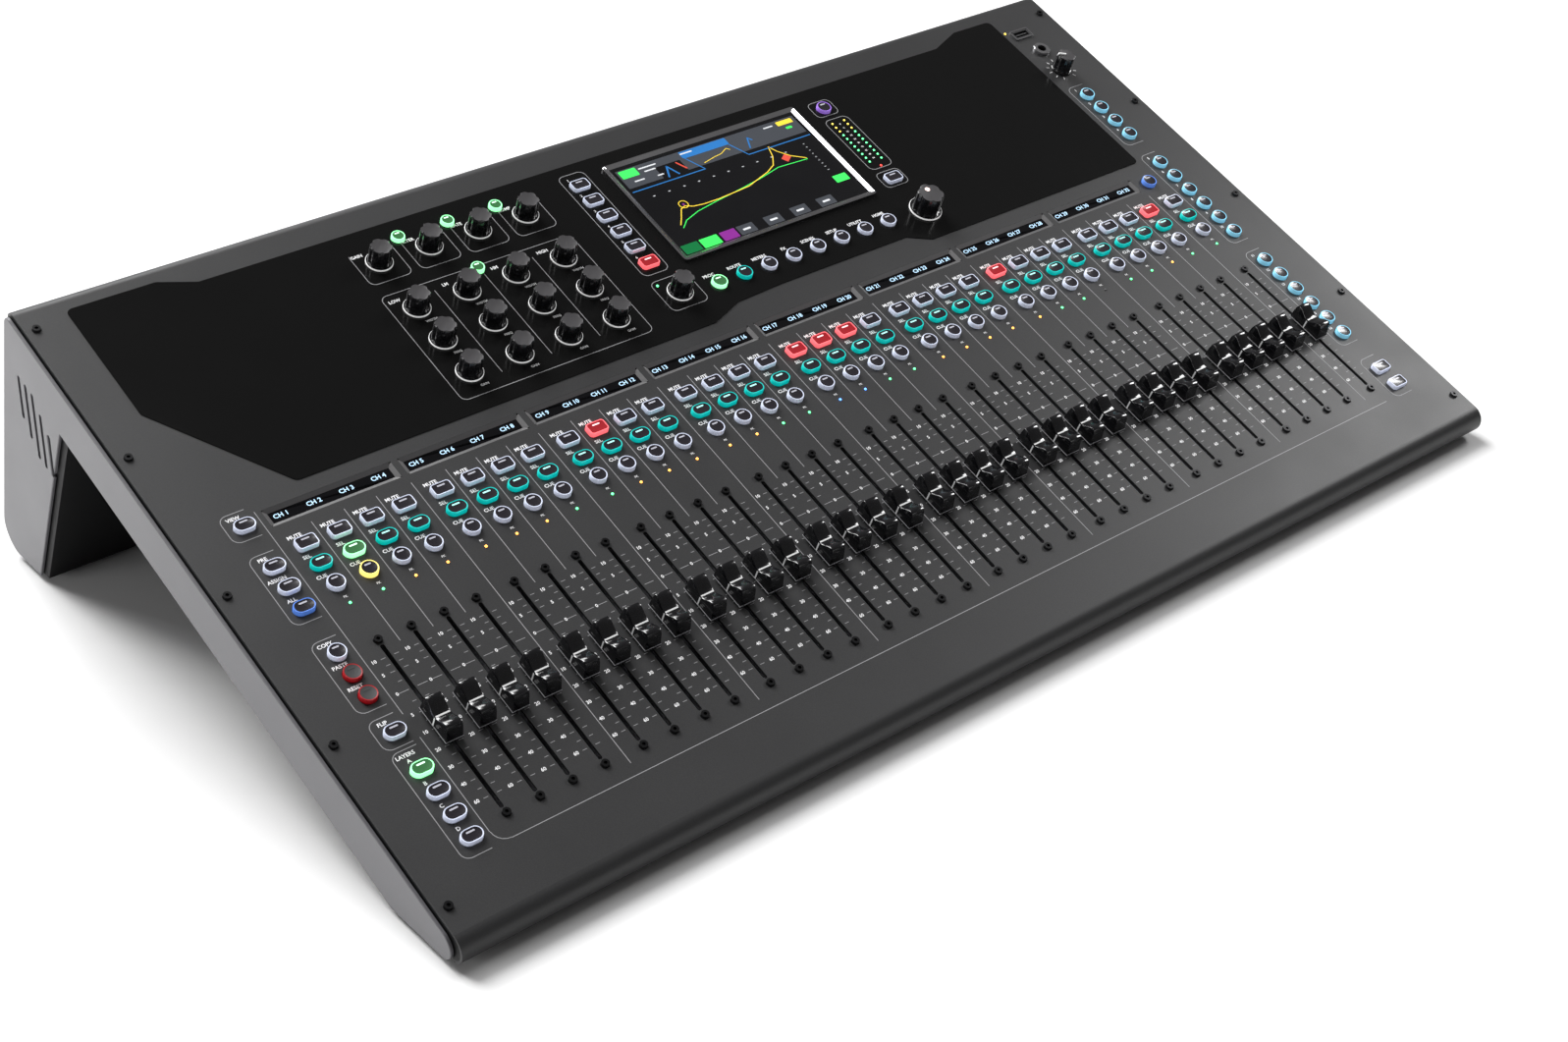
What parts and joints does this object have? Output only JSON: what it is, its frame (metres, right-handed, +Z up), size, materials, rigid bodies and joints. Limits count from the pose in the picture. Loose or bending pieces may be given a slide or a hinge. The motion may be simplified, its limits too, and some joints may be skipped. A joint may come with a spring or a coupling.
{
  "type": "digital mixing console",
  "caption": "Desk-standing digital mixing console: sloping control deck with motor faders, lit keys, knobs and a touchscreen on a thin slab with a deep rear leg.",
  "frame": {"origin": "centre of the footprint of the bounding box, on the surface that the rubber feet stand on", "axes": "+X to the operator's right along the long side, +Y away from the operator to the rear sockets, +Z up"},
  "size_m": [0.796, 0.5066, 0.191],
  "materials": {
    "deck": "charcoal satin powder coat, fine texture",
    "fascia": "gloss black overlay",
    "chassis": "charcoal satin powder coat",
    "cheek": "grey satin powder coat",
    "black_plastic": "gloss black moulding",
    "knob_plastic": "black soft-touch moulding, chrome skirt line",
    "key_plastic": "smoked cap over a translucent light ring",
    "screen_glass": "black cover glass in a bright bevelled bezel",
    "display_glass": "black display strip",
    "screw_steel": "black oxide",
    "foot_rubber": "soft black rubber",
    "zinc_steel": "zinc plated sheet",
    "socket_plastic": "black moulding with bright contacts",
    "board_green": "solder-masked board"
  },
  "bodies": {
    "console": {"top_panel": "deck", "gloss_fascia": "fascia", "base_tray": "chassis", "left_cheek": "cheek", "right_cheek": "cheek", "rear_panel": "chassis", "sockets": "socket_plastic", "rubber_feet": "foot_rubber", "panel_screws": "screw_steel", "fader_units": "zinc_steel", "strip_displays": "display_glass", "touchscreen": "screen_glass", "circuit_boards": "board_green", "power_supply": "zinc_steel", "eq_knobs": "knob_plastic"},
    "fader_cap_01": {"fader_cap_01": "black_plastic"},
    "fader_cap_02": {"fader_cap_02": "black_plastic"},
    "fader_cap_03": {"fader_cap_03": "black_plastic"},
    "fader_cap_04": {"fader_cap_04": "black_plastic"},
    "fader_cap_05": {"fader_cap_05": "black_plastic"},
    "fader_cap_06": {"fader_cap_06": "black_plastic"},
    "fader_cap_07": {"fader_cap_07": "black_plastic"},
    "fader_cap_08": {"fader_cap_08": "black_plastic"},
    "fader_cap_09": {"fader_cap_09": "black_plastic"},
    "fader_cap_10": {"fader_cap_10": "black_plastic"},
    "fader_cap_11": {"fader_cap_11": "black_plastic"},
    "fader_cap_12": {"fader_cap_12": "black_plastic"},
    "fader_cap_13": {"fader_cap_13": "black_plastic"},
    "fader_cap_14": {"fader_cap_14": "black_plastic"},
    "fader_cap_15": {"fader_cap_15": "black_plastic"},
    "fader_cap_16": {"fader_cap_16": "black_plastic"},
    "fader_cap_17": {"fader_cap_17": "black_plastic"},
    "fader_cap_18": {"fader_cap_18": "black_plastic"},
    "fader_cap_19": {"fader_cap_19": "black_plastic"},
    "fader_cap_20": {"fader_cap_20": "black_plastic"},
    "fader_cap_21": {"fader_cap_21": "black_plastic"},
    "fader_cap_22": {"fader_cap_22": "black_plastic"},
    "fader_cap_23": {"fader_cap_23": "black_plastic"},
    "fader_cap_24": {"fader_cap_24": "black_plastic"},
    "fader_cap_25": {"fader_cap_25": "black_plastic"},
    "fader_cap_26": {"fader_cap_26": "black_plastic"},
    "fader_cap_27": {"fader_cap_27": "black_plastic"},
    "fader_cap_28": {"fader_cap_28": "black_plastic"},
    "fader_cap_29": {"fader_cap_29": "black_plastic"},
    "fader_cap_30": {"fader_cap_30": "black_plastic"},
    "fader_cap_31": {"fader_cap_31": "black_plastic"},
    "fader_cap_32": {"fader_cap_32": "black_plastic"},
    "fader_cap_33": {"fader_cap_33": "black_plastic"},
    "preamp_knob": {"preamp_knob": "knob_plastic"},
    "filter_knob": {"filter_knob": "knob_plastic"},
    "gate_knob": {"gate_knob": "knob_plastic"},
    "comp_knob": {"comp_knob": "knob_plastic"},
    "pan_knob": {"pan_knob": "knob_plastic"},
    "main_encoder": {"main_encoder": "knob_plastic"},
    "phones_knob": {"phones_knob": "knob_plastic"},
    "mute_keys": {"mute_keys": "key_plastic"},
    "select_keys": {"select_keys": "key_plastic"},
    "cue_keys": {"cue_keys": "key_plastic"},
    "function_keys": {"function_keys": "key_plastic"},
    "power_switch": {"power_switch": "black_plastic"}
  },
  "joints": [
    {"name": "fader_slide_01", "type": "slide", "parent": "console", "child": "fader_cap_01", "axis": [0, 0.9272, 0.3746], "range_m": [-0.05, 0.05]},
    {"name": "fader_slide_02", "type": "slide", "parent": "console", "child": "fader_cap_02", "axis": [0, 0.9272, 0.3746], "range_m": [-0.05, 0.05]},
    {"name": "fader_slide_03", "type": "slide", "parent": "console", "child": "fader_cap_03", "axis": [0, 0.9272, 0.3746], "range_m": [-0.05, 0.05]},
    {"name": "fader_slide_04", "type": "slide", "parent": "console", "child": "fader_cap_04", "axis": [0, 0.9272, 0.3746], "range_m": [-0.05, 0.05]},
    {"name": "fader_slide_05", "type": "slide", "parent": "console", "child": "fader_cap_05", "axis": [0, 0.9272, 0.3746], "range_m": [-0.05, 0.05]},
    {"name": "fader_slide_06", "type": "slide", "parent": "console", "child": "fader_cap_06", "axis": [0, 0.9272, 0.3746], "range_m": [-0.05, 0.05]},
    {"name": "fader_slide_07", "type": "slide", "parent": "console", "child": "fader_cap_07", "axis": [0, 0.9272, 0.3746], "range_m": [-0.05, 0.05]},
    {"name": "fader_slide_08", "type": "slide", "parent": "console", "child": "fader_cap_08", "axis": [0, 0.9272, 0.3746], "range_m": [-0.05, 0.05]},
    {"name": "fader_slide_09", "type": "slide", "parent": "console", "child": "fader_cap_09", "axis": [0, 0.9272, 0.3746], "range_m": [-0.05, 0.05]},
    {"name": "fader_slide_10", "type": "slide", "parent": "console", "child": "fader_cap_10", "axis": [0, 0.9272, 0.3746], "range_m": [-0.05, 0.05]},
    {"name": "fader_slide_11", "type": "slide", "parent": "console", "child": "fader_cap_11", "axis": [0, 0.9272, 0.3746], "range_m": [-0.05, 0.05]},
    {"name": "fader_slide_12", "type": "slide", "parent": "console", "child": "fader_cap_12", "axis": [0, 0.9272, 0.3746], "range_m": [-0.05, 0.05]},
    {"name": "fader_slide_13", "type": "slide", "parent": "console", "child": "fader_cap_13", "axis": [0, 0.9272, 0.3746], "range_m": [-0.05, 0.05]},
    {"name": "fader_slide_14", "type": "slide", "parent": "console", "child": "fader_cap_14", "axis": [0, 0.9272, 0.3746], "range_m": [-0.05, 0.05]},
    {"name": "fader_slide_15", "type": "slide", "parent": "console", "child": "fader_cap_15", "axis": [0, 0.9272, 0.3746], "range_m": [-0.05, 0.05]},
    {"name": "fader_slide_16", "type": "slide", "parent": "console", "child": "fader_cap_16", "axis": [0, 0.9272, 0.3746], "range_m": [-0.05, 0.05]},
    {"name": "fader_slide_17", "type": "slide", "parent": "console", "child": "fader_cap_17", "axis": [0, 0.9272, 0.3746], "range_m": [-0.05, 0.05]},
    {"name": "fader_slide_18", "type": "slide", "parent": "console", "child": "fader_cap_18", "axis": [0, 0.9272, 0.3746], "range_m": [-0.05, 0.05]},
    {"name": "fader_slide_19", "type": "slide", "parent": "console", "child": "fader_cap_19", "axis": [0, 0.9272, 0.3746], "range_m": [-0.05, 0.05]},
    {"name": "fader_slide_20", "type": "slide", "parent": "console", "child": "fader_cap_20", "axis": [0, 0.9272, 0.3746], "range_m": [-0.05, 0.05]},
    {"name": "fader_slide_21", "type": "slide", "parent": "console", "child": "fader_cap_21", "axis": [0, 0.9272, 0.3746], "range_m": [-0.05, 0.05]},
    {"name": "fader_slide_22", "type": "slide", "parent": "console", "child": "fader_cap_22", "axis": [0, 0.9272, 0.3746], "range_m": [-0.05, 0.05]},
    {"name": "fader_slide_23", "type": "slide", "parent": "console", "child": "fader_cap_23", "axis": [0, 0.9272, 0.3746], "range_m": [-0.05, 0.05]},
    {"name": "fader_slide_24", "type": "slide", "parent": "console", "child": "fader_cap_24", "axis": [0, 0.9272, 0.3746], "range_m": [-0.05, 0.05]},
    {"name": "fader_slide_25", "type": "slide", "parent": "console", "child": "fader_cap_25", "axis": [0, 0.9272, 0.3746], "range_m": [-0.05, 0.05]},
    {"name": "fader_slide_26", "type": "slide", "parent": "console", "child": "fader_cap_26", "axis": [0, 0.9272, 0.3746], "range_m": [-0.05, 0.05]},
    {"name": "fader_slide_27", "type": "slide", "parent": "console", "child": "fader_cap_27", "axis": [0, 0.9272, 0.3746], "range_m": [-0.05, 0.05]},
    {"name": "fader_slide_28", "type": "slide", "parent": "console", "child": "fader_cap_28", "axis": [0, 0.9272, 0.3746], "range_m": [-0.05, 0.05]},
    {"name": "fader_slide_29", "type": "slide", "parent": "console", "child": "fader_cap_29", "axis": [0, 0.9272, 0.3746], "range_m": [-0.05, 0.05]},
    {"name": "fader_slide_30", "type": "slide", "parent": "console", "child": "fader_cap_30", "axis": [0, 0.9272, 0.3746], "range_m": [-0.05, 0.05]},
    {"name": "fader_slide_31", "type": "slide", "parent": "console", "child": "fader_cap_31", "axis": [0, 0.9272, 0.3746], "range_m": [-0.05, 0.05]},
    {"name": "fader_slide_32", "type": "slide", "parent": "console", "child": "fader_cap_32", "axis": [0, 0.9272, 0.3746], "range_m": [-0.05, 0.05]},
    {"name": "fader_slide_33", "type": "slide", "parent": "console", "child": "fader_cap_33", "axis": [0, 0.9272, 0.3746], "range_m": [-0.05, 0.05]},
    {"name": "preamp_knob_turn", "type": "hinge", "parent": "console", "child": "preamp_knob", "pos_m": [-0.1893, 0.12861, 0.17372], "axis": [0, -0.3746, 0.9272], "continuous": true},
    {"name": "filter_knob_turn", "type": "hinge", "parent": "console", "child": "filter_knob", "pos_m": [-0.1545, 0.12861, 0.17372], "axis": [0, -0.3746, 0.9272], "continuous": true},
    {"name": "gate_knob_turn", "type": "hinge", "parent": "console", "child": "gate_knob", "pos_m": [-0.1197, 0.12861, 0.17372], "axis": [0, -0.3746, 0.9272], "continuous": true},
    {"name": "comp_knob_turn", "type": "hinge", "parent": "console", "child": "comp_knob", "pos_m": [-0.0849, 0.12861, 0.17372], "axis": [0, -0.3746, 0.9272], "continuous": true},
    {"name": "pan_knob_turn", "type": "hinge", "parent": "console", "child": "pan_knob", "pos_m": [-0.0352, 0.03941, 0.13768], "axis": [0, -0.3746, 0.9272], "continuous": true},
    {"name": "main_encoder_turn", "type": "hinge", "parent": "console", "child": "main_encoder", "pos_m": [0.1636, 0.03469, 0.13577], "axis": [0, -0.3746, 0.9272], "continuous": true},
    {"name": "phones_knob_turn", "type": "hinge", "parent": "console", "child": "phones_knob", "pos_m": [0.3604, 0.10525, 0.16428], "axis": [0, -0.3746, 0.9272], "range_deg": [-150, 150]},
    {"name": "mute_keys_press", "type": "slide", "parent": "console", "child": "mute_keys", "axis": [0, 0.3746, -0.9272], "range_m": [0, 0.0008], "stiffness_N_per_m": 2500},
    {"name": "select_keys_press", "type": "slide", "parent": "console", "child": "select_keys", "axis": [0, 0.3746, -0.9272], "range_m": [0, 0.0008], "stiffness_N_per_m": 2500},
    {"name": "cue_keys_press", "type": "slide", "parent": "console", "child": "cue_keys", "axis": [0, 0.3746, -0.9272], "range_m": [0, 0.0008], "stiffness_N_per_m": 2500},
    {"name": "function_keys_press", "type": "slide", "parent": "console", "child": "function_keys", "axis": [0, 0.3746, -0.9272], "range_m": [0, 0.0008], "stiffness_N_per_m": 2500},
    {"name": "power_switch_rock", "type": "hinge", "parent": "console", "child": "power_switch", "pos_m": [-0.34, 0.20874, 0.11574], "axis": [1, 0, 0], "range_deg": [-14, 0]}
  ]
}
